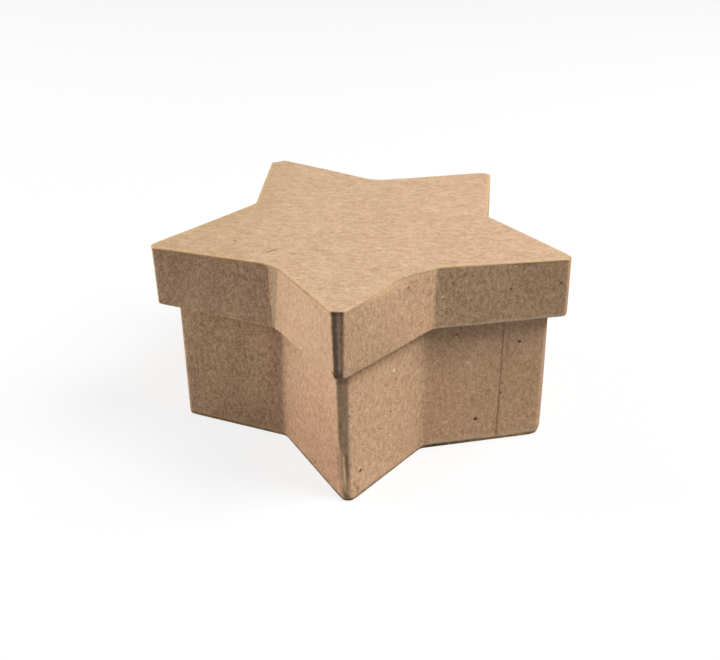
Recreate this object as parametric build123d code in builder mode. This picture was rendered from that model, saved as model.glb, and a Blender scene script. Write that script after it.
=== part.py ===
"""Star-shaped gift box of folded brown board with a lift-off lid.

Four glued pieces: a star panel and a folded side strip make the lid, and the same two make the base.
The origin is the middle of the base's underside, +Z is up and the front tip points along -Y.
"""
import os
from math import cos, radians, sin

from build123d import *

# Driving dimensions, in millimetres
tip_reach = 54.0  # middle of the lid to the sharp corner that the two faces of a tip would make
valley_reach = 32.0  # middle of the lid to the corner that the two faces of a valley would make
wall_height = 47.0  # base side strip, from the floor panel to the rim
skirt_depth = 14.3  # lid side strip, from the lid's top panel down
board = 1.2  # side strips
top_thickness = 1.0  # lid's top panel
floor_thickness = 1.0  # base's floor panel
lid_clearance = 0.8  # play between the base's outside and the lid's inside

# Folds: the flat left by the two scores at a tip, the rounding of those scores and of the panels' edges
lid_tip_flat = 2.0
base_tip_flat = 2.7
inner_tip_flat = 0.8
score_radius = 0.8
inner_score_radius = 0.3
top_edge_round = 0.6
floor_edge_round = 0.3

# Butt joints of the two glued strips, measured along the wall from the valley that it starts at
seam_gap = 0.25
base_seam_from_valley = 18.8
lid_seam_from_valley = 17.0

# What hand folding did to the lid's corners, anticlockwise from the front tip and the valley to its right:
# degrees turned anticlockwise, millimetres moved outwards, and for a valley the outside radius of its bend
tip_wander = [(0.0, -1.7), (0.4, -0.3), (-0.6, -1.6), (-1.6, 3.0), (2.3, -0.1)]
valley_wander = [(0.4, -0.1, 7.0), (-2.7, -0.6, 2.5), (-0.2, 0.2, 8.0), (-0.6, 0.4, 2.5), (1.9, 0.6, 3.0)]

# Where the base's corners stand in the lid's play, in shares of that play: outwards, then anticlockwise
base_tip_stand = [(0.7, 0.3), (-0.35, -0.45), (0.0, 0.0), (0.0, 0.0), (-1.25, -1.65)]
base_valley_stand = [(0.5, -0.4), (0.0, 0.0), (0.0, 0.0), (0.1, 0.0), (-1.05, -1.35)]

star_points = len(tip_wander)
front_bearing = -90.0
step_angle = 360.0 / star_points
rim_height = floor_thickness + wall_height
base_inset = board + lid_clearance


def at_bearing(bearing, reach):
    """Point at a bearing in degrees from +X and a reach from the middle of the star."""
    return Vector(reach * cos(radians(bearing)), reach * sin(radians(bearing)))


def moved_inwards(corners, inset):
    """Corners of an anticlockwise outline once every one of its faces has moved inwards by inset."""
    count = len(corners)
    along = [(corners[(i + 1) % count] - corners[i]).normalized() for i in range(count)]
    inward = [Vector(-direction.Y, direction.X) for direction in along]
    moved = []
    for i in range(count):
        before = inward[i - 1]
        after = inward[i]
        moved.append(corners[i] + (before + after) * (inset / (1 + before.dot(after))))
    return moved


def lid_corners():
    """Sharp corners of the lid's outside, tip and valley in turn, anticlockwise from the front tip."""
    corners = []
    for index in range(star_points):
        bearing = front_bearing + index * step_angle
        tip_turn, tip_out = tip_wander[index]
        valley_turn, valley_out, _ = valley_wander[index]
        corners.append(at_bearing(bearing + tip_turn, tip_reach + tip_out))
        corners.append(at_bearing(bearing + step_angle / 2 + valley_turn, valley_reach + valley_out))
    return corners


def base_corners():
    """Sharp corners of the base's outside: the lid's inside less the play, stood as the folds left them."""
    stands = [stand for pair in zip(base_tip_stand, base_valley_stand) for stand in pair]
    corners = []
    for corner, (outwards, turning) in zip(moved_inwards(lid_corners(), base_inset), stands):
        out = corner.normalized()
        across = Vector(-out.Y, out.X)
        corners.append(corner + (out * outwards + across * turning) * lid_clearance)
    return corners


def star(sharp, bend_growth, tip_flat, fold_radius):
    """Filled star on sharp corners, its tips blunted by a flat and its valleys bent to a radius."""
    points = []
    radii = []
    for index in range(star_points):
        tip = sharp[2 * index]
        valley = sharp[2 * index + 1]
        arriving = (sharp[2 * index - 1] - tip).normalized()
        leaving = (valley - tip).normalized()
        set_back = tip_flat / (arriving - leaving).length
        points += [tip + arriving * set_back, tip + leaving * set_back, valley]
        radii += [fold_radius, fold_radius, valley_wander[index][2] + bend_growth]
    with BuildSketch() as outline:
        with BuildLine():
            FilletPolyline(*points, radius=radii, close=True)
        make_face()
    return outline.sketch


def strip_section(sharp, bend_growth, tip_flat):
    """Plan of a strip of board folded round a star, before its ends are parted."""
    inner = moved_inwards(sharp, board)
    with BuildSketch() as section:
        add(star(sharp, bend_growth, tip_flat, score_radius))
        add(star(inner, bend_growth + board, inner_tip_flat, inner_score_radius), mode=Mode.SUBTRACT)
    return section.sketch


def seam(sharp, valley, from_valley):
    """Narrow cut across the wall that runs anticlockwise from a valley to the next tip."""
    start = sharp[2 * valley + 1]
    along = (sharp[2 * valley + 2] - start).normalized()
    inward = Vector(-along.Y, along.X)
    middle = start + along * from_valley + inward * (board / 2)
    with BuildSketch(Plane(origin=middle, x_dir=along, z_dir=(0, 0, 1))) as cut:
        Rectangle(seam_gap, 3 * board)
    return cut.sketch


lid_outline = lid_corners()
base_outline = base_corners()

# Base floor panel: the die-cut star that the box stands on
with BuildPart() as base_floor_panel:
    with BuildSketch():
        add(star(base_outline, base_inset, base_tip_flat, score_radius))
    extrude(amount=floor_thickness)
    fillet(base_floor_panel.faces().sort_by(Axis.Z)[0].outer_wire().edges(), floor_edge_round)
base_floor_panel.part.label = "base_floor_panel"

# Base side strip: one strip scored and folded round the floor panel, its ends butted in the right-hand wall
with BuildPart() as base_side_strip:
    with BuildSketch(Plane.XY.offset(floor_thickness)):
        add(strip_section(base_outline, base_inset, base_tip_flat))
        add(seam(base_outline, 0, base_seam_from_valley), mode=Mode.SUBTRACT)
    extrude(amount=wall_height)
base_side_strip.part.label = "base_side_strip"

# Lid side strip: the shallow skirt, its ends butted in a back wall
with BuildPart() as lid_side_strip:
    with BuildSketch(Plane.XY.offset(rim_height)):
        add(strip_section(lid_outline, 0, lid_tip_flat))
        add(seam(lid_outline, 2, lid_seam_from_valley), mode=Mode.SUBTRACT)
    extrude(amount=-skirt_depth)
lid_side_strip.part.label = "lid_side_strip"

# Lid top panel: the die-cut star on the skirt, resting on the base's rim, its upper edge worn round
with BuildPart() as lid_top_panel:
    with BuildSketch(Plane.XY.offset(rim_height)):
        add(star(lid_outline, 0, lid_tip_flat, score_radius))
    extrude(amount=top_thickness)
    fillet(lid_top_panel.faces().sort_by(Axis.Z)[-1].outer_wire().edges(), top_edge_round)
lid_top_panel.part.label = "lid_top_panel"

os.makedirs("parts", exist_ok=True)
for piece in (base_floor_panel, base_side_strip, lid_side_strip, lid_top_panel):
    export_step(piece.part, f"parts/{piece.part.label}.step")
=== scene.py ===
"""Looks of a star-shaped gift box of folded brown board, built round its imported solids.

A plan is an array of complex numbers, x + y i in millimetres seen from above, with the front tip along -y.
Heights are millimetres above the table. Meshes are in metres.
"""

import bpy
import numpy as np
from mathutils import Matrix, Vector


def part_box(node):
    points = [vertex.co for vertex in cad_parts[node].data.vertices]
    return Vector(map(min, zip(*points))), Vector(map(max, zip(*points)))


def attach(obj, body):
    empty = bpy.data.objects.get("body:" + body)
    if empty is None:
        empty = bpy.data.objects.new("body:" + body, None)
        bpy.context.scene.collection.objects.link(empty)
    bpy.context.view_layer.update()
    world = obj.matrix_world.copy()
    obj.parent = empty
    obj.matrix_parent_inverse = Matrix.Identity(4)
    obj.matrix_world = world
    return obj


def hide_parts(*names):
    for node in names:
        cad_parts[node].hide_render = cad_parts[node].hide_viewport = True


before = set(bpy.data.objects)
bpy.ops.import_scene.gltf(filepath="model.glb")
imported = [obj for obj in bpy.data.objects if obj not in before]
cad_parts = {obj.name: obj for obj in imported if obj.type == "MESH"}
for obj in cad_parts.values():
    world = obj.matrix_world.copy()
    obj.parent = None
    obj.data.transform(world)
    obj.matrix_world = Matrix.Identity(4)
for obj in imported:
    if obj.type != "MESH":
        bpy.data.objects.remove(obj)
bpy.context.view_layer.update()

MM = 0.001

# Heights that the solids have
floor_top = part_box("base_floor_panel")[1][2] / MM
skirt_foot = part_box("lid_side_strip")[0][2] / MM
rim_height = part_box("lid_top_panel")[0][2] / MM
lid_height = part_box("lid_top_panel")[1][2] / MM

# Joint of the lid's top and its skirt: half a millimetre of the top's edge is left to see
joint_height = lid_height - 0.5

# Board of the two strips, the gap at their seams, and the tight folds on the inside of the tips
board = 1.2
seam_gap = 0.04
inner_flat = 0.8
inner_score = 0.3

# Sharp corners in plan, tip and valley in turn, anticlockwise from the front tip: the skirt leans out towards
# its lower edge at the front, and the base leans out towards its foot
lid_top_corners = [(-0.25, -51.5), (19.4, -25.3), (51.6, -17.0), (30.4, 8.2), (31.1, 42.2),
                   (-0.9, 32.9), (-32.6, 49.4), (-30.3, 12.1), (-51.0, -19.3), (-17.9, -26.9)]
skirt_foot_corners = [(0.0, -52.6), (19.05, -26.5), (51.5, -16.5), (30.3, 8.3), (31.2, 42.1),
                      (-0.3, 32.3), (-32.3, 48.0), (-30.7, 11.4), (-50.5, -18.8), (-18.2, -29.45)]
base_rim_corners = [(-0.05, -48.6), (17.5, -24.2), (47.6, -15.5), (28.3, 7.6), (29.0, 39.2),
                    (-0.5, 30.1), (-30.2, 44.4), (-28.8, 9.8), (-46.7, -16.0), (-16.6, -24.2)]
base_foot_corners = [(1.2, -51.0), (16.4, -26.25), (47.6, -15.8), (28.3, 7.6), (29.2, 39.3),
                     (0.0, 30.1), (-30.1, 43.9), (-28.8, 9.8), (-47.1, -15.0), (-17.8, -23.9)]

# Outside bend radius of each valley and width of each blunt tip. The lid's valley at the front left is
# creased flat, so there the bend's two ends are joined by a straight line
lid_top_bends, lid_top_flats = (2.0, 2.5, 8.0, 2.5, 8.0), (3.0, 2.3, 2.0, 3.6, 2.2)
skirt_top_bends = (2.0, 2.5, 8.0, 2.5, 5.0)
skirt_foot_bends, skirt_foot_flats = (1.8, 2.5, 8.0, 2.5, 0.5), (2.3, 2.0, 2.0, 3.0, 2.0)
base_bends, base_flats = (3.2, 4.5, 10.0, 4.5, 3.4), (2.6, 2.7, 2.7, 2.7, 2.7)
foot_flats = (1.95, 2.7, 2.7, 2.7, 2.7)
lid_creased, base_creased = (False, False, False, False, True), (False,) * 5
score = 0.7
foot_score = 1.3

# Front tip: how far the skirt's lower edge hangs below the other tips', the share of the base's lean that
# comes only near its foot, the power that this share follows, and how far along the walls both are felt
skirt_droop = 0.55
late_lean = 0.6
late_power = 10
front_reach = 30.0

# Crushed lower corners of the tips: height and depth of each
no_crush = [(1.0, 0.0)] * 5
skirt_crush = [(1.2, 0.6), (0.5, 0.2), (0.8, 0.5), (0.8, 0.5), (0.6, 0.25)]
base_crush = [(1.5, 0.3), (1.9, 0.8), (2.0, 1.0), (2.0, 1.0), (1.0, 0.35)]
crush_reach = 2.2

# Left fold of the base's front tip, worn flat near its foot: depth, middle and reach along the outline, and
# the heights where the wear starts, is full and ends
fold_wear = 0.55
fold_middle, fold_reach = -1.3, 1.3
fold_heights, fold_shares = (1.5, 5.5, 10.0, 14.5), (0, 1, 1, 0)

# How far the tips of the lid's top are worn down, how far along its edge that is felt, and the power of a
# ring's size by which it fades inwards
tip_wear = 0.25
wear_reach = 1.8
wear_power = 60

# Front-right wall pressed in under the lid's top edge: millimetres gained over the whole wall from the tip
# and from the valley, how far the crest between them is eased, the height where the press ends, and the power
# by which it fades down to there
press_from_tip = 3.5
press_from_valley = 9.2
press_ease = 0.45
press_foot = 33.0
press_power = 1.3

# Slow ripples of the strips: depth, and radians a millimetre along the strip and up it
long_ripple = (0.07, 0.23, 0.05)
short_ripple = (0.04, 0.61, -0.19)

# Edges that turn by more degrees than this are seen as creases
crease_angle = 15.0

# Points on each rounded corner and on each straight run between two of them, and on the quarter round of an
# edge seen in section
arc_points = 7
run_points = 21
span = arc_points + run_points
round_points = 15 * span
quarter_points = 9

# Rings on each face of a star panel, the size of the smallest, how they crowd towards the edge, the rows on
# the edge, and the tightest fold of a line drawn inside it
ring_count = 30
ring_least = 0.02
ring_crowd = 0.8
edge_rows = 5
least_fold = 0.2

# Walls are counted anticlockwise from the front tip, and tips from the front one
front_right, right_front, back_wall, left_front, front_left = 0, 1, 5, 8, 9
front_tip, right_tip, left_tip = 0, 1, 4


def outline(corners, bends, creased, flats, fold, inset=0.0):
    """Plan of a star with blunt tips, anticlockwise from the front tip, always with as many points.

    A wall's inward normal is its direction turned left. A corner moved with its two walls goes by the sum
    of their normals times inset / (1 + their dot product). A tip is cut back along both walls until the cut
    is as long as its flat. Every corner is then an arc that starts radius * tan(turn / 2) before the corner
    and swings round a centre at its left or right, or the arc's chord where it is creased.
    """
    corners = np.array([complex(x, y) for x, y in corners])
    leaving = np.roll(corners, -1) - corners
    leaving /= abs(leaving)
    arriving = np.roll(leaving, 1)
    corners = corners + 1j * (arriving + leaving) * inset / (1 + (arriving * leaving.conj()).real)
    back = np.array(flats) / abs(arriving + leaving)[::2]
    before_tip = corners[::2] - arriving[::2] * back
    after_tip = corners[::2] + leaving[::2] * back
    sharp = np.stack([before_tip, after_tip, corners[1::2]], 1).ravel()
    radius = np.stack([np.full(5, fold), np.full(5, fold), np.array(bends) + inset], 1).ravel()

    run = np.roll(sharp, -1) - sharp
    run /= abs(run)
    before = np.roll(run, 1)
    turn = np.angle(run / before)
    start = sharp - before * radius * np.tan(abs(turn) / 2)
    centre = start + 1j * before * radius * np.sign(turn)
    swing = np.exp(1j * turn[:, None] * np.linspace(0, 1, arc_points))
    arcs = centre[:, None] + (start - centre)[:, None] * swing
    chords = arcs[:, :1] + (arcs[:, -1:] - arcs[:, :1]) * np.linspace(0, 1, arc_points)
    flat = np.stack([np.zeros(5, bool), np.zeros(5, bool), creased], 1).ravel()
    arcs = np.where(flat[:, None], chords, arcs)
    share = np.arange(1, run_points + 1) / (run_points + 1)
    runs = arcs[:, -1:] + (np.roll(arcs[:, :1], -1, axis=0) - arcs[:, -1:]) * share
    return np.concatenate([arcs, runs], 1).ravel()


def wall_start(wall):
    """Point of an outline where a wall's straight run starts, walls counted from the front tip's right."""
    return (3 * (wall // 2) + 1 + wall % 2) * span + arc_points - 1


def walls_of(index):
    """Number of the wall at each point of an outline, and the share of its straight run that lies behind.

    The first half of a corner counts with the wall before it.
    """
    corner = (index % round_points - (arc_points - 1) / 2) // span
    wall = (corner - (corner + 2) // 3) % 10
    return wall, np.clip((index % round_points - wall_start(wall)) / (run_points + 1), 0, 1)


def press(index):
    """Depth of the press at each point of an outline.

    It is the lesser of a slope a from the tip and a slope b from the valley, eased where they meet as
    (a + b - sqrt((a - b)^2 + ease^2)) / 2.
    """
    share = np.clip((index % round_points - wall_start(front_right)) / (run_points + 1), 0, 1)
    rise, fall = press_from_tip * share, press_from_valley * (1 - share)
    return (rise + fall - np.sqrt((rise - fall) ** 2 + press_ease ** 2)) / 2


def tip_offsets(index, plan):
    """Distance along an outline from the middle of the nearest blunt tip, and that tip's number."""
    steps = abs(np.diff(np.append(plan, plan[0])))
    length = np.concatenate([[0], np.cumsum(steps)])
    middles = np.arange(5) * 3 * span + arc_points + (run_points - 1) / 2
    places = np.arange(round_points + 1)
    here = np.interp(index % round_points, places, length)
    gaps = here[:, None] - np.interp(middles, places, length)
    gaps -= length[-1] * np.round(gaps / length[-1])
    nearest = abs(gaps).argmin(1)
    return gaps[np.arange(len(gaps)), nearest], nearest


def crushed(index, plan, heights, ground, crush):
    """Depth of the crush at each height and point.

    It is a quarter round near the ground, and fades from a tip's middle as exp(-(offset / reach)^4).
    """
    offset, tip = tip_offsets(index, plan)
    high, deep = np.array(crush)[tip].T
    left = np.clip(1 - (heights[:, None] - ground) / high, 0, 1)
    return np.exp(-(offset / crush_reach) ** 4) * deep * (1 - np.sqrt(1 - left ** 2))


def seam_to_seam(plan, wall, from_valley):
    """Places along an outline, counted in its points, from one side of the seam round to the other."""
    start = wall_start(wall)
    step = abs(plan[(start + run_points + 1) % round_points] - plan[start]) / (run_points + 1)
    middle, half = start + from_valley / step, seam_gap / 2 / step
    first, last = middle + half, middle - half + round_points
    return np.concatenate([[first], np.arange(np.ceil(first), np.floor(last) + 1), [last]])


def quarter(radius):
    """Depth from the end and from the face of points on a quarter round, from the end to the face."""
    angle = np.linspace(np.pi / 2, 0, quarter_points)
    return radius * (1 - np.sin(angle)), radius * (1 - np.cos(angle))


def edge_profile(top, foot, top_round, foot_round, rows):
    """Heights down a wall's face and the depth of each behind it, with a quarter round at both ends."""
    top_ends, top_depths = quarter(top_round)
    foot_ends, foot_depths = quarter(foot_round)
    face = np.linspace(top - top_round, foot + foot_round, rows)[1:-1]
    heights = np.concatenate([top - top_ends, face, (foot + foot_ends)[::-1]])
    depths = np.concatenate([top_depths, 0 * face, foot_depths[::-1]])
    return heights, depths


def rippled(ripple, along, heights, start):
    """Depth of a ripple at each height and place: depth * sin(a * along + b * height + start)."""
    depth, turn_along, turn_up = ripple
    return depth * np.sin(turn_along * along + turn_up * heights[:, None] + start)


def add_object(name, data):
    """Object of a name in the scene, at the origin."""
    made = bpy.data.objects.new(name, data)
    bpy.context.scene.collection.objects.link(made)
    return made


def make_piece(name, points, faces, vectors, material, node, body):
    """Mesh object from points in millimetres and faces, with vector attributes, in the place of one solid."""
    mesh = bpy.data.meshes.new(name)
    mesh.from_pydata(points * MM, [], faces)
    for label, values in vectors.items():
        held = mesh.attributes.new(label, "FLOAT_VECTOR", "POINT")
        held.data.foreach_set("vector", values.astype(np.float32).ravel())
    mesh.polygons.foreach_set("use_smooth", np.ones(len(mesh.polygons), bool))
    mesh.set_sharp_from_angle(angle=np.radians(crease_angle))
    mesh.materials.append(material)
    piece = add_object(name, mesh)
    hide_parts(node)
    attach(piece, body)


def folded_strip(name, upper, lower, top, foot, rounds, rows, seam, ground, crush, droop, late, wear,
                 material, node, body):
    """Strip of board folded round a star, from seam to seam.

    A closed profile of rows is carried along the outline. A row at height z lies on the straight lines from
    the upper outline to the lower one, at share (top - z) / (top - foot) of the way, or near the front tip
    late times a power of that share and the rest of it plain. The outer rows run down and the inner rows run
    up again, and both ends of the profile are quarter rounds. Every point then moves inwards by the crush of
    the nearest tip, by the press on the front-right wall and by two slow ripples, and near the front tip down
    by droop times its share. The outer face is also worn back at the front tip's left fold, in a straight
    slope to both sides of the fold.
    """
    sides = [outline(*side) for side in (upper, lower)]
    cores = [outline(*side[:3], [inner_flat] * 5, inner_score, board) for side in (upper, lower)]
    index = seam_to_seam(sides[0], *seam)
    places = np.arange(round_points + 1)
    cut = [np.interp(index % round_points, places, np.append(plan, plan[0])) for plan in sides + cores]
    outer_top, outer_foot, inner_top, inner_foot = cut

    heights, depths = edge_profile(top, foot, *rounds, rows)
    offset, tip = tip_offsets(index, sides[0])
    near_front = np.clip(1 - abs(offset) / front_reach, 0, 1) * (tip == front_tip)
    share = ((top - heights) / (top - foot))[:, None]
    lean = share + late * near_front * (share ** late_power - share)
    outer = outer_top * (1 - lean) + outer_foot * lean
    inner = inner_top * (1 - lean) + inner_foot * lean
    inwards = (inner - outer) / abs(inner - outer)

    fade = np.clip((heights[:, None] - press_foot) / (rim_height - press_foot), 0, 1) ** press_power
    along = np.concatenate([[0], np.cumsum(abs(np.diff(outer_top)))])
    ripple = rippled(long_ripple, along, heights, foot) + rippled(short_ripple, along, heights, 0.0)
    shift = crushed(index, sides[0], heights, ground, crush) + press(index) * fade + ripple

    at_fold = np.clip(1 - abs(offset - fold_middle) / fold_reach, 0, 1) * (tip == front_tip)
    worn = wear * np.interp(heights, fold_heights, fold_shares)[:, None] * at_fold
    face = outer + inwards * (depths[:, None] + shift + worn)
    back = inner + inwards * (shift - depths[:, None])
    plan = np.concatenate([face, back[::-1]])
    hung = heights[:, None] - droop * near_front * share
    z = np.concatenate([hung, hung[::-1]])
    points = np.stack([plan.real, plan.imag, z], -1).reshape(-1, 3)

    count, half = len(index), len(heights)
    grid = np.arange(2 * half * count).reshape(2 * half, count)
    below = np.roll(grid, -1, axis=0)
    skin = np.stack([grid[:, :-1], below[:, :-1], below[:, 1:], grid[:, 1:]], -1).reshape(-1, 4)
    down = np.arange(half - 1)
    up = 2 * half - 1 - down
    start_cap = np.stack([grid[down + 1, 0], grid[down, 0], grid[up, 0], grid[up - 1, 0]], -1)
    end_cap = np.stack([grid[down, -1], grid[down + 1, -1], grid[up - 1, -1], grid[up, -1]], -1)
    faces = np.concatenate([skin, start_cap, end_cap]).tolist()

    inside = np.repeat([0, 1], half)[:, None]
    on_strip = np.stack([along + 0 * z, z - foot, inside + 0 * z], -1).reshape(-1, 3)
    at_tip = np.stack([offset + 0 * z, tip + 0 * z, top - z], -1).reshape(-1, 3)
    wall, part = walls_of(index)
    on_wall = np.stack([wall + 0 * z, part + 0 * z, 0 * z], -1).reshape(-1, 3)
    vectors = {"on_strip": on_strip, "at_tip": at_tip, "on_wall": on_wall}
    make_piece(name, points, faces, vectors, material, node, body)


def rim_distances(points, corners):
    """Distance in millimetres from each point to the nearest wall of a star of sharp corners."""
    ends = np.array([complex(x, y) for x, y in corners])
    run = np.roll(ends, -1) - ends
    spot = (points[:, 0] + 1j * points[:, 1])[:, None]
    share = np.clip(((spot - ends) * run.conj()).real / abs(run) ** 2, 0, 1)
    return abs(spot - ends - run * share).min(1)


def star_panel(name, shape, low, high, rounds, pressed, sag, wear, crush, material, node, body):
    """Die-cut star, made of rings.

    They run from the middle of the underside out to the edge, up it and back to the top's middle. The rings
    at the edge are the outline moved inwards by the edge's profile, the press and the crush. Those on the two
    faces shrink from there towards the middle. The upper face sags by a sum of two slow waves, and its tips
    are worn down by a bell curve along the edge that fades inwards with a high power of a ring's size.
    """
    corners, bends, creased, flats, fold = shape
    low_round, high_round = rounds
    reach = max(rounds)
    edge = outline(*shape)
    flats_within = [flat - reach for flat in flats]
    within = outline(corners, bends, creased, flats_within, max(fold - reach, least_fold), reach)
    inwards = (within - edge) / reach
    index = np.arange(round_points)
    heights, depths = edge_profile(high, low, high_round, low_round, edge_rows)
    shift = press(index) * pressed + crushed(index, edge, heights, low, crush)
    sides = edge + inwards * (depths[:, None] + shift)
    over = edge + inwards * (reach + shift[0])
    under = edge + inwards * (reach + shift[-1])

    shrink = np.linspace(ring_least, 1, ring_count) ** ring_crowd
    plan = np.concatenate([under * shrink[:, None], sides[::-1], over * shrink[::-1, None]])
    level = np.concatenate([np.full(len(shrink), low), heights[::-1], np.full(len(shrink), high)])
    wave = (np.sin(0.075 * plan.real + 1.1) * np.cos(0.062 * plan.imag + 0.4)
            + 0.35 * np.sin(0.16 * plan.imag - 0.11 * plan.real))
    offset, _ = tip_offsets(index, edge)
    ring_size = np.concatenate([shrink, np.ones(len(heights)), shrink[::-1]])[:, None]
    worn = wear * np.exp(-(offset / wear_reach) ** 2) * ring_size ** wear_power
    z = level[:, None] + (sag * wave - worn) * ((level - low) / (high - low))[:, None]
    middle = [[0, 0, z[0].mean()], [0, 0, z[-1].mean()]]
    points = np.concatenate([np.stack([plan.real, plan.imag, z], -1).reshape(-1, 3), middle])

    rings = len(plan)
    grid = np.arange(rings * round_points).reshape(rings, round_points)
    after = np.roll(grid, -1, axis=1)
    skin = np.stack([grid[:-1], after[:-1], after[1:], grid[1:]], -1).reshape(-1, 4)
    hub = np.full(round_points, rings * round_points)
    under_fan = np.stack([hub, after[0], grid[0]], -1)
    over_fan = np.stack([hub + 1, grid[-1], after[-1]], -1)
    faces = skin.tolist() + under_fan.tolist() + over_fan.tolist()
    from_rim = rim_distances(points, corners)
    on_panel = np.stack([from_rim, (points[:, 2] - low) / (high - low), 0 * from_rim], -1)
    make_piece(name, points, faces, {"on_panel": on_panel}, material, node, body)


class Wire:
    """A socket of a shader tree. Arithmetic between wires and numbers adds Math nodes."""

    def __init__(self, tree, socket=None):
        self.tree = tree
        self.socket = socket

    def node(self, kind, settings=None, inputs=None, output=0):
        """Adds a node: its settings first, then its inputs' values or wires. Gives what it puts out."""
        made = self.tree.nodes.new(kind)
        for name, value in (settings or {}).items():
            setattr(made, name, value)
        for name, value in (inputs or {}).items():
            if isinstance(value, Wire):
                self.tree.links.new(value.socket, made.inputs[name])
            else:
                made.inputs[name].default_value = value
        return Wire(self.tree, made.outputs[output]) if made.outputs else None

    def math(self, operation, first, second=0.0):
        return self.node("ShaderNodeMath", {"operation": operation}, {0: first, 1: second})

    def __add__(self, other):
        return self.math("ADD", self, other)

    def __sub__(self, other):
        return self.math("SUBTRACT", self, other)

    def __rsub__(self, other):
        return self.math("SUBTRACT", other, self)

    def __mul__(self, other):
        return self.math("MULTIPLY", self, other)

    def __truediv__(self, other):
        return self.math("DIVIDE", self, other)

    __radd__ = __add__
    __rmul__ = __mul__

    def size(self):
        return self.math("ABSOLUTE", self)

    def step(self, low, high):
        """0 up to low and 1 from high on, or 1 to 0 where low is the larger, with a smooth step between."""
        return self.node("ShaderNodeMapRange", {"interpolation_type": "SMOOTHSTEP"},
                         {"Value": self, "From Min": low, "From Max": high})

    def place(self):
        """Place on an object in millimetres."""
        return self.node("ShaderNodeTexCoord", {}, {}, "Object").scaled(1 / MM, 1 / MM, 1 / MM)

    def held(self, name):
        """Vector that a mesh holds at its points."""
        return self.node("ShaderNodeAttribute", {"attribute_name": name}, {}, "Vector")

    def parts(self):
        """The three numbers of a vector."""
        return [self.node("ShaderNodeSeparateXYZ", {}, {0: self}, axis) for axis in range(3)]

    def vector(self, operation, other, output="Vector"):
        return self.node("ShaderNodeVectorMath", {"operation": operation}, {0: self, 1: other}, output)

    def scaled(self, x, y, z):
        """A vector with each of its numbers multiplied."""
        return self.vector("MULTIPLY", (x, y, z))

    def from_line(self, start, end):
        """How far a vector lies from the straight line between two places."""
        run = np.subtract(end, start)
        ahead = self.vector("SUBTRACT", start)
        share = self.node("ShaderNodeClamp", {}, {0: ahead.vector("DOT_PRODUCT", run / (run @ run), "Value")})
        nearest = self.node("ShaderNodeVectorMath", {"operation": "SCALE"}, {0: run, "Scale": share})
        return ahead.vector("DISTANCE", nearest, "Value")

    def noise(self, size, detail=2.0, roughness=0.5):
        """Cloudy noise from 0 to 1 on a vector, with patches about size across."""
        return self.node("ShaderNodeTexNoise", {}, {"Vector": self, "Scale": 1 / size, "Detail": detail,
                                                    "Roughness": roughness})

    def flecks(self, size, share, spread):
        """Round flecks on a vector: a share of cells of a size hold one, of spread cells' radius at most."""
        cells = {"Vector": self, "Scale": 1 / size}
        away = self.node("ShaderNodeTexVoronoi", {}, cells, "Distance")
        lot, other, _ = self.node("ShaderNodeTexVoronoi", {}, cells, "Color").parts()
        radius = spread * (0.35 + 0.65 * other)
        return (away / radius).step(1.0, 0.55) * lot.step(share + 0.01, share)

    def blend(self, other, mask):
        """This colour mixed towards another by a mask."""
        return self.node("ShaderNodeMix", {"data_type": "RGBA"}, {0: mask, 6: self, 7: other}, 2)

    def tinted(self, paint, mask):
        """This colour multiplied by another where a mask is 1."""
        kind = {"data_type": "RGBA", "blend_type": "MULTIPLY"}
        return self.node("ShaderNodeMix", kind, {0: mask, 6: self, 7: paint}, 2)

    def between(self, first, second):
        """A colour from a first to a second as this goes from 0 to 1."""
        return self.node("ShaderNodeMix", {"data_type": "RGBA"}, {0: self, 6: first, 7: second}, 2)


def colour(red, green, blue):
    return (red, green, blue, 1.0)


def toned(paint, factor):
    """A colour made darker or lighter."""
    return colour(*(part * factor for part in paint[:3]))


def lifted(paint, amount):
    """A colour with an amount added to each of its parts as they are shown, so that red less green stays."""
    return colour(*((part ** (1 / 2.2) + amount) ** 2.2 for part in paint[:3]))


# Colours in linear light
top_kraft = colour(0.575, 0.385, 0.240)
wall_kraft = colour(0.590, 0.370, 0.220)
base_kraft = colour(0.590, 0.370, 0.220)
warm_kraft = colour(0.600, 0.350, 0.190)
cool_kraft = colour(0.560, 0.375, 0.245)
rubbed = colour(0.720, 0.500, 0.260)
scorched = colour(0.380, 0.220, 0.090)
burnt_orange = colour(0.560, 0.280, 0.110)
cream = colour(0.780, 0.640, 0.460)
shade_brown = colour(0.190, 0.105, 0.050)
foot_shadow = colour(0.075, 0.042, 0.025)
core_grey = colour(0.540, 0.375, 0.265)
core_dark = colour(0.200, 0.135, 0.092)
core_brown = colour(0.635, 0.425, 0.260)
core_brown_dark = colour(0.310, 0.195, 0.110)
dark_fleck = colour(0.150, 0.080, 0.040)
pale_fleck = colour(0.860, 0.740, 0.600)

# Grain: how far its darkest and palest parts lie from the board's colour, its contrast, its bumps' depth, and
# the half width of the bare strip on the front tip
grain_dark, grain_pale = -0.125, 0.105
wall_contrast, panel_contrast = 1.5, 1.0
wall_bump, panel_bump = 0.05, 0.035
bare_half = 1.46

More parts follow.
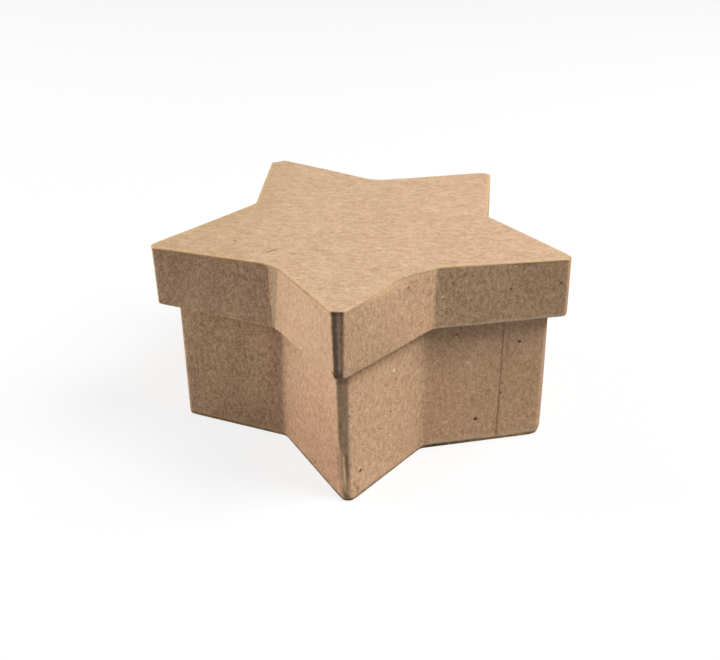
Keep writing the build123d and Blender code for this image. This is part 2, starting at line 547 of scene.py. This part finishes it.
# Dark marks on the front tip and the left one, some of them painted shade: two places with a line between
# them, its width and strength
skirt_marks = [
    # The first is painted shade in the gap between the top and the strip's upper end
    ((-1.5, -49.5, 48.2), (-0.3, -49.5, 48.0), 0.4, 0.7),
    ((-1.4, -50.8, 34.7), (-0.3, -50.8, 33.7), 0.5, 0.7)]
base_marks = [
    # The first two are painted shade under the lid's edge on the front tip; the rest are streaks and marks
    ((-0.7, -47.1, 30.9), (1.4, -47.1, 30.7), 1.3, 0.4),
    ((0.1, -47.1, 30.0), (0.2, -47.2, 26.0), 1.6, 0.12),
    ((0.5, -47.3, 18.0), (0.9, -47.6, 11.0), 0.5, 0.15),
    ((0.8, -47.5, 11.5), (1.2, -48.0, 6.0), 0.5, 0.45),
    ((2.3, -47.0, 4.3), (3.3, -46.9, 2.1), 0.4, 0.5),
    ((3.3, -46.9, 2.1), (3.1, -47.3, 0.9), 0.4, 0.6),
    ((-0.3, -48.9, 3.0), (0.6, -49.2, 1.2), 0.6, 0.45),
    ((1.0, -49.3, 1.2), (1.7, -49.3, 1.2), 0.5, 0.3),
    ((-45.6, -14.5, 4.0), (-45.6, -14.5, 1.0), 0.9, 0.6)]

# Single spots: place, radius and strength, below zero for a pale one. And the cut in the lid's top
top_spots = [(-30.1, -13.6, 49.0, 0.35, 0.8), (-31.6, 4.4, 49.0, 0.3, 0.5), (-9.5, -27.5, 49.0, 0.35, 0.35)]
top_cut = ((-20.9, -20.4, 49.0), (-19.2, -18.1, 49.0))
skirt_spots = [
    (23.1, -24.5, 44.9, 0.4, 0.6), (24.3, -24.2, 42.5, 0.35, 0.5), (48.2, -17.6, 42.8, 0.4, 0.8),
    (44.5, -18.6, 41.8, 0.3, 0.6), (36.5, -20.8, 42.3, 0.35, 0.8), (41.7, -19.4, 37.1, 0.3, 0.5),
    (13.3, -30.5, 46.1, 0.4, 0.6), (-5.5, -44.4, 47.2, 0.45, 0.4), (-24.1, -26.5, 34.1, 0.3, 0.6),
    (27.5, -23.3, 46.4, 0.35, 0.5), (20.9, -25.1, 41.6, 0.35, -0.8), (40.0, -19.9, 40.2, 0.3, -0.6),
    (26.2, -23.7, 45.3, 0.3, -0.6), (24.1, -24.3, 38.3, 0.3, -0.6), (-17.5, -30.2, 34.0, 0.35, -0.5)]
base_spots = [
    (29.7, -21.5, 6.7, 0.6, 0.95), (39.4, -18.2, 27.1, 0.5, 0.95), (24.3, -22.6, 30.6, 0.4, 0.8),
    (3.9, -45.8, 6.1, 0.5, 0.95), (9.9, -36.1, 16.4, 0.35, 0.7), (1.5, -47.3, 21.8, 0.35, 0.7),
    (11.4, -33.7, 17.3, 0.3, 0.7), (-28.8, -20.6, 26.4, 0.3, 0.7), (-25.6, -21.4, 31.4, 0.3, 0.7),
    (-8.2, -37.4, 2.0, 0.4, 0.7), (-16.2, -25.8, 18.8, 0.35, 0.6), (35.6, -19.5, 13.4, 0.35, 0.6),
    (35.9, -19.4, 15.9, 0.3, 0.5), (-39.4, -17.8, 27.7, 0.3, 0.6), (-41.0, -17.4, 28.5, 0.3, 0.6),
    (10.5, -34.6, 26.8, 0.4, -0.9), (27.2, -22.0, 22.9, 0.35, -0.7), (22.2, -24.1, 6.9, 0.35, -0.6),
    (-43.3, -16.3, 10.7, 0.35, -0.5)]

# Squeezes of space, mostly along the line of sight, so that a mark stays on the face that it lies on
head_on = (1.0, 0.2, 1.0)
face_on = (1.0, 0.6, 1.0)
from_above = (1.0, 1.0, 0.3)

# Grain that walls have more or less of than the rest
skirt_grain = {front_right: -0.10, right_front: 0.25, left_front: 0.60, front_left: -0.45}
base_grain = {front_right: -0.10, right_front: -0.10, left_front: 0.60, front_left: -0.15}


def start_material(name):
    """Empty material with its wire to build on."""
    material = bpy.data.materials.new(name)
    material.use_nodes = True
    material.node_tree.nodes.clear()
    return material, Wire(material.node_tree)


def finish_board(wire, tone, height, depth):
    """Ends a board material: a dull shader of a tone, with bumps of a depth in millimetres."""
    bump = wire.node("ShaderNodeBump", {}, {"Strength": 1.0, "Distance": depth * MM, "Height": height})
    shader = wire.node("ShaderNodeBsdfPrincipled", {}, {
        "Base Color": tone, "Roughness": 0.88, "Specular IOR Level": 0.2, "Normal": bump})
    wire.node("ShaderNodeOutputMaterial", {}, {"Surface": shader})


def pulp(kraft, grain, spot, contrast):
    """Colour and height of recycled board: mottled along the grain, cloudy, with dark and pale flecks."""
    mottle = grain.noise(1.3, 3.0, 0.8)
    fine = spot.noise(0.40, 1.0, 0.7)
    cloud = spot.noise(8.0, 2.0)
    lightness = 0.5 + contrast * (1.4 * mottle + fine - 1.2) + 0.3 * (cloud - 0.5)
    tone = lightness.between(lifted(kraft, grain_dark), lifted(kraft, grain_pale))
    hue = spot.scaled(1.0, 1.0, 0.8).noise(3.0, 4.0, 0.7)
    tone = tone.blend(warm_kraft, hue.step(0.50, 0.80) * 0.25)
    tone = tone.blend(cool_kraft, hue.step(0.50, 0.20) * 0.25)
    dark = spot.flecks(1.7, 0.20, 0.15)
    pale = spot.flecks(2.0, 0.20, 0.12)
    tone = tone.blend(dark_fleck, spot.flecks(1.1, 0.35, 0.22) * 0.22)
    tone = tone.blend(pale_fleck, spot.flecks(1.2, 0.30, 0.20) * 0.22)
    tone = tone.blend(dark_fleck, dark * 0.6)
    tone = tone.blend(pale_fleck, pale * 0.6)
    return tone, 0.55 * mottle + 0.45 * fine - 0.3 * dark


def spotted(tone, spot, spots, squeeze):
    """A colour with single spots, dark or pale, in a space squeezed along the line of sight."""
    seen = spot.scaled(*squeeze)
    for x, y, z, radius, strength in spots:
        place = np.multiply((x, y, z), squeeze)
        away = seen.vector("DISTANCE", place, "Value")
        paint = dark_fleck if strength > 0 else pale_fleck
        tone = tone.blend(paint, away.step(1.2 * radius, 0.6 * radius) * abs(strength))
    return tone


def burnt(tone, spot, mask):
    """A colour with the burnt line where top and skirt meet: broken, and orange at the left front."""
    x, _, _ = spot.parts()
    left_front = x.step(-14.0, -20.0)
    broken = spot.noise(2.2, 3.0).step(0.34, 0.54)
    strength = 0.03 + 0.77 * x.step(4.0, -8.0) + 0.1 * left_front + 0.4 * x.step(16.0, 24.0)
    return tone.blend(left_front.between(scorched, burnt_orange), broken * strength * mask)


def number_mask(wire, number):
    return (wire - number).size().step(0.6, 0.4)


def wall_board(name, kraft, grain_more, tints, core, tips, joint, spots, marks):
    """Folded strip board: grain, painted light and shade, bare front tip, coloured tips, worn edges, marks.
    """
    material, wire = start_material(name)
    spot = wire.place()
    on_strip = wire.held("on_strip")
    along, up, inside = on_strip.parts()
    offset, tip, from_top = wire.held("at_tip").parts()
    outside = 1 - inside
    wall, part, _ = wire.held("on_wall").parts()
    contrast = wall_contrast + sum(more * number_mask(wall, number) for number, more in grain_more.items())
    tone, height = pulp(kraft, on_strip.scaled(1.35, 0.75, 1.0), spot, contrast)
    # Light and shade painted on single walls
    for number, paint, heights, reach in tints:
        mask = number_mask(wall, number) * up.step(*heights) * part.step(*reach)
        tone = tone.tinted(paint, mask * outside)

    # Colours on the blunt flats of the right and left tips
    for number, (paint, strength) in tips.items():
        worn = offset.size().step(1.7, 0.9) * number_mask(tip, number) * outside
        tone = tone.blend(paint, worn * strength)

    tone = tone.blend(rubbed, up.step(0.6, 0.1) * number_mask(wall, left_front) * outside * 0.5)
    tone = tone.blend(cream, up.step(1.0, 0.4) * number_mask(wall, right_front) * outside * 0.4)
    frayed = from_top + 1.6 * spot.noise(1.6, 3.0, 0.7) - 0.8
    golden = frayed.step(1.3, 0.3) * number_mask(wall, front_right) * part.step(0.15, 0.4)
    tone = tone.blend(rubbed, golden * outside * joint * 0.6)
    broad = number_mask(wall, left_front) + number_mask(wall, right_front)
    line = from_top.step(0.35 + 0.25 * broad, 0.1)
    tone = burnt(tone, spot, line * outside * joint)
    torn = spot.noise(1.5, 3.0, 0.7)
    seam = (along + 0.5 * (torn - 0.5)).step(0.6, 0.2) * (0.4 + 0.6 * torn.step(0.35, 0.6))
    tone = tone.blend(shade_brown, seam * 0.65)
    tone = spotted(tone, spot, spots, face_on)

    paint, edge_paint, edge_dirt, foot_left, right_soft = core
    wobble = on_strip.scaled(0.25, 1.0, 1.0).noise(2.0, 3.0) - 0.5
    across = offset + 0.6 * wobble
    wider = across + 0.45 * (1 - foot_left) * up.step(26.0, 10.0)
    bare = wider.step(-bare_half, 0.4 - bare_half) * across.step(bare_half, bare_half - right_soft)
    bare = bare * number_mask(tip, front_tip) * outside
    rubbed_left = up.step(14.5, 9.5) * up.step(3.5, 7.0) * across.step(0.5, -0.3)
    rubbed_off = 0.45 * up.step(9.0, 4.0) + 0.7 * rubbed_left
    bare = bare * (1 - (1 - foot_left) * rubbed_off)
    streaks = on_strip.scaled(2.6, 0.2, 1.0).noise(1.0, 4.0, 0.7)
    edges = across.step(0.3, -0.8) + 0.45 * across.step(0.45, 0.8)
    stains = up.step(2.4, 0.3) * spot.noise(0.9, 2.0).step(0.4, 0.6)
    blots = spot.noise(1.1, 3.0, 0.8)
    dirt = 0.15 + edge_dirt * edges + 1.8 * (streaks - 0.5) + 2.2 * (blots - 0.5) + 0.9 * stains
    tone = tone.blend(dirt.between(paint, edge_paint), bare)
    # Dark lines along given lines, some of them painted shade under the lid's edge or in the gap under the
    # top
    seen = spot.scaled(*head_on)
    for start, end, width, strength in marks:
        away = seen.from_line(np.multiply(start, head_on), np.multiply(end, head_on))
        tone = tone.blend(shade_brown, away.step(width, 0.25 * width) * outside * strength)
    finish_board(wire, tone, height, wall_bump)
    return material


def panel_board(name, kraft, tip_gap_shade, painted_foot_shade, spots, cuts):
    """Die-cut star board: grain, rubbed rim with small burns, a burnt joint, painted shade at the foot or
    front tip.
    """
    material, wire = start_material(name)
    spot = wire.place()
    from_rim, rise, _ = wire.held("on_panel").parts()
    tone, height = pulp(kraft, spot.scaled(0.6, 1.05, 1.0), spot, panel_contrast)
    rim = (from_rim + 1.2 * spot.noise(3.0, 3.0) - 0.6).step(1.2, 0.2)
    tone = tone.blend(rubbed, rim * 0.4)
    burns = spot.flecks(1.3, 0.45, 0.32) * from_rim.step(0.9, 0.4)
    tone = tone.blend(scorched, burns * 0.5)
    tone = spotted(tone, spot, spots, from_above)
    for start, end in cuts:
        tone = tone.blend(dark_fleck, spot.from_line(start, end).step(0.35, 0.12) * 0.7)
    x, y, _ = spot.parts()
    tone = tone.tinted(colour(0.93, 0.94, 0.87), x.step(-18.0, -32.0))
    # The lower edge of the top's front tip painted near black: painted shade in the gap above the strip's end
    bare = y.step(-49.0, -49.3) * (x + 0.2).size().step(1.40, 1.15) * rise.step(0.7, 0.3) * tip_gap_shade
    tone = tone.blend(foot_shadow, bare)
    side = from_rim.step(2.6, 2.2)
    tone = burnt(tone, spot, rise.step(0.45, 0.1) * side * (0.8 * (1 - painted_foot_shade)))
    # Painted shade along the lower part of the floor panel's edge, its strength changing from left to right
    uneven = 0.6 + 0.4 * spot.noise(2.0, 2.0).step(0.35, 0.55)
    dark = 0.5 + 0.25 * x.step(-20.0, -14.0) - 0.2 * x.step(2.0, 6.0) + 0.3 * x.step(14.0, 18.0)
    dark = (dark - 0.25 * x.step(22.0, 34.0)) * uneven * painted_foot_shade
    tone = tone.blend(foot_shadow, rise.step(1.0, 0.75) * side * dark)
    finish_board(wire, tone, height, panel_bump)
    return material


# Light and shade painted on single walls: wall, colour, and the heights and the parts of the wall between
# which a tint comes in
all_up, all_along = (-1.0, 0.0), (-1.0, -0.5)
skirt_tints = [
    (front_right, colour(0.85, 0.85, 0.85), all_up, (1.0, 0.6)),
    (front_left, colour(1.04, 1.04, 1.04), all_up, all_along),
    (left_front, colour(0.90, 0.90, 0.92), all_up, (1.0, 0.97)),
    (right_front, colour(0.90, 0.92, 0.93), all_up, all_along),
    (left_front, colour(0.86, 0.86, 0.86), (6, 0), (0.85, 0.97)),
    (front_right, colour(1.12, 1.09, 1.10), (11.5, 14.5), (0.1, 0.4))]
base_tints = [
    (front_left, colour(0.86, 0.79, 0.79), (36, 4), all_along),
    (right_front, colour(1.13, 1.12, 1.12), (36, 6), all_along),
    (right_front, colour(0.92, 0.95, 0.99), (22, 32), all_along),
    (right_front, colour(0.90, 0.91, 0.92), (15, 28), (0.6, 0.1)),
    (right_front, colour(1.11, 1.10, 1.09), (33, 38), (0.6, 0.1)),
    (front_right, colour(0.88, 0.89, 0.91), (20, 27), (0.70, 0.96)),
    (front_right, colour(1.14, 1.12, 1.10), (33, 38), (0.70, 0.96)),
    (left_front, colour(1.09, 1.09, 1.09), (24, 31), all_along),
    (left_front, colour(0.88, 0.84, 0.86), all_up, (0.80, 0.98)),
    (left_front, colour(0.92, 0.92, 0.93), (8, 1), (0.2, 0.5))]

# Colours painted on the blunt flats of the right and left tips: colour and strength
skirt_tips = {right_tip: (scorched, 0.5), left_tip: (cream, 0.6)}
base_tips = {right_tip: (toned(cool_kraft, 0.7), 0.5), left_tip: (toned(cool_kraft, 0.5), 0.6)}

# Bare strip: colour, colour where dirty, dirt at its edges, what is left of it at the foot, and how soft its
# right edge is
skirt_core = (core_grey, core_dark, 1.0, 1.0, 0.4)
base_core = (core_brown, core_brown_dark, 0.3, 0.25, 0.9)

skirt_board = wall_board("skirt_board", wall_kraft, skirt_grain, skirt_tints, skirt_core, skirt_tips,
                         joint=0.85, spots=skirt_spots, marks=skirt_marks)
base_board = wall_board("base_board", base_kraft, base_grain, base_tints, base_core, base_tips,
                        joint=0.0, spots=base_spots, marks=base_marks)
top_board = panel_board("top_board", top_kraft, tip_gap_shade=0.9, painted_foot_shade=0.0, spots=top_spots, cuts=[top_cut])
floor_board = panel_board("floor_board", base_kraft, tip_gap_shade=0.0, painted_foot_shade=1.0, spots=[], cuts=[])

lid_top = (lid_top_corners, lid_top_bends, lid_creased, lid_top_flats, score)
skirt_top = (lid_top_corners, skirt_top_bends, lid_creased, lid_top_flats, score)
skirt_edge = (skirt_foot_corners, skirt_foot_bends, lid_creased, skirt_foot_flats, score)
base_rim = (base_rim_corners, base_bends, base_creased, base_flats, score)
base_foot = (base_foot_corners, base_bends, base_creased, foot_flats, foot_score)

folded_strip("skirt", skirt_top, skirt_edge, top=joint_height, foot=skirt_foot, rounds=(0.05, 0.35), rows=28,
             seam=(back_wall, 14.0), ground=skirt_foot, crush=skirt_crush, droop=skirt_droop, late=0.0,
             wear=0.0, material=skirt_board, node="lid_side_strip", body="lid")
folded_strip("walls", base_rim, base_foot, top=rim_height, foot=floor_top, rounds=(0.30, 0.08), rows=62,
             seam=(right_front, 17.6), ground=0.0, crush=base_crush, droop=0.0, late=late_lean,
             wear=fold_wear, material=base_board, node="base_side_strip", body="base")
star_panel("lid_star", lid_top, low=joint_height, high=lid_height, rounds=(0.04, 0.38), pressed=1.0, sag=0.12,
           wear=tip_wear, crush=no_crush, material=top_board, node="lid_top_panel", body="lid")
star_panel("floor_star", base_foot, low=0.0, high=floor_top, rounds=(0.20, 0.05), pressed=0.0, sag=0.0,
           wear=0.0, crush=base_crush, material=floor_board, node="base_floor_panel", body="base")

# Table: white to the camera, and a mid grey in the light that it throws back on the box. Half its side in
# metres, and the share of its white that glows
table_half = 4
table_glow = 0.8
table_pale = colour(0.9, 0.9, 0.9)
table_grey = colour(0.4, 0.4, 0.4)
table = bpy.data.meshes.new("table")
table_corners = [(x * table_half, y * table_half, 0) for x, y in ((-1, -1), (1, -1), (1, 1), (-1, 1))]
table.from_pydata(table_corners, [], [(0, 1, 2, 3)])
table_piece = add_object("table", table)
table_white, wire = start_material("table_white")
seen = wire.node("ShaderNodeLightPath", {}, {}, "Is Camera Ray")
paint = wire.node("ShaderNodeBsdfDiffuse", {}, {"Color": seen.between(table_grey, table_pale)})
glow = wire.node("ShaderNodeEmission", {}, {"Color": colour(1.0, 1.0, 1.0), "Strength": 1.0})
both = wire.node("ShaderNodeMixShader", {}, {0: seen * table_glow, 1: paint, 2: glow})
wire.node("ShaderNodeOutputMaterial", {}, {"Surface": both})
table.materials.append(table_white)

world = bpy.data.worlds.new("studio")
bpy.context.scene.world = world
world.use_nodes = True
world.node_tree.nodes.clear()
air = Wire(world.node_tree)
sky_seen = air.node("ShaderNodeLightPath", {}, {}, "Is Camera Ray")
sky_light = 0.15
sky = air.node("ShaderNodeBackground", {}, {"Color": colour(1.0, 1.0, 1.0),
                                            "Strength": sky_seen * (1 - sky_light) + sky_light})
air.node("ShaderNodeOutputWorld", {}, {"Surface": sky})

# Lamps: direction from the box, distance and side in metres, and light on a white card that faces the lamp.
# They look at the middle of the box
lamp_target = Vector((0, 0, 0.025))
lamps = {
    "left_softbox": ((-0.983, 0.121, 0.140), 0.9, 0.5, 1.40),
    "right_softbox": ((0.643, 0.0, 0.766), 0.9, 0.5, 1.20),
}
for name, (direction, distance, side, strength) in lamps.items():
    lamp = bpy.data.lights.new(name, "AREA")
    lamp.size = side
    lamp.energy = strength * np.pi ** 2 * distance ** 2
    holder = add_object(name, lamp)
    aim = Vector(direction).normalized()
    holder.location = aim * distance + lamp_target
    holder.rotation_euler = aim.to_track_quat("Z", "Y").to_euler()

# Camera: fitted to the edges of the box, angles in degrees, focal length in pixels of the picture's width,
# and the film's width in millimetres
focal_pixels, picture_width, film_width = 1041.975, 720, 36
view_pitch, view_turn, view_roll = np.radians([27.5495, -6.9665, -0.7077])
eye = Vector((28.104, -242.461, 146.179)) * MM
level_ahead = Vector((np.sin(view_turn), np.cos(view_turn), 0.0))
ahead = level_ahead * np.cos(view_pitch) + Vector((0.0, 0.0, -np.sin(view_pitch)))
level_across = Vector((np.cos(view_turn), -np.sin(view_turn), 0.0))
level_up = level_across.cross(ahead)
across = level_across * np.cos(view_roll) + level_up * np.sin(view_roll)
upward = level_up * np.cos(view_roll) - level_across * np.sin(view_roll)
lens = bpy.data.cameras.new("view")
lens.lens = focal_pixels / picture_width * film_width
lens.clip_start = 0.01
camera = add_object("view", lens)
camera.matrix_world = Matrix.Translation(eye) @ Matrix((across, upward, -ahead)).transposed().to_4x4()
bpy.context.scene.camera = camera
bpy.context.scene.view_settings.view_transform = "Standard"
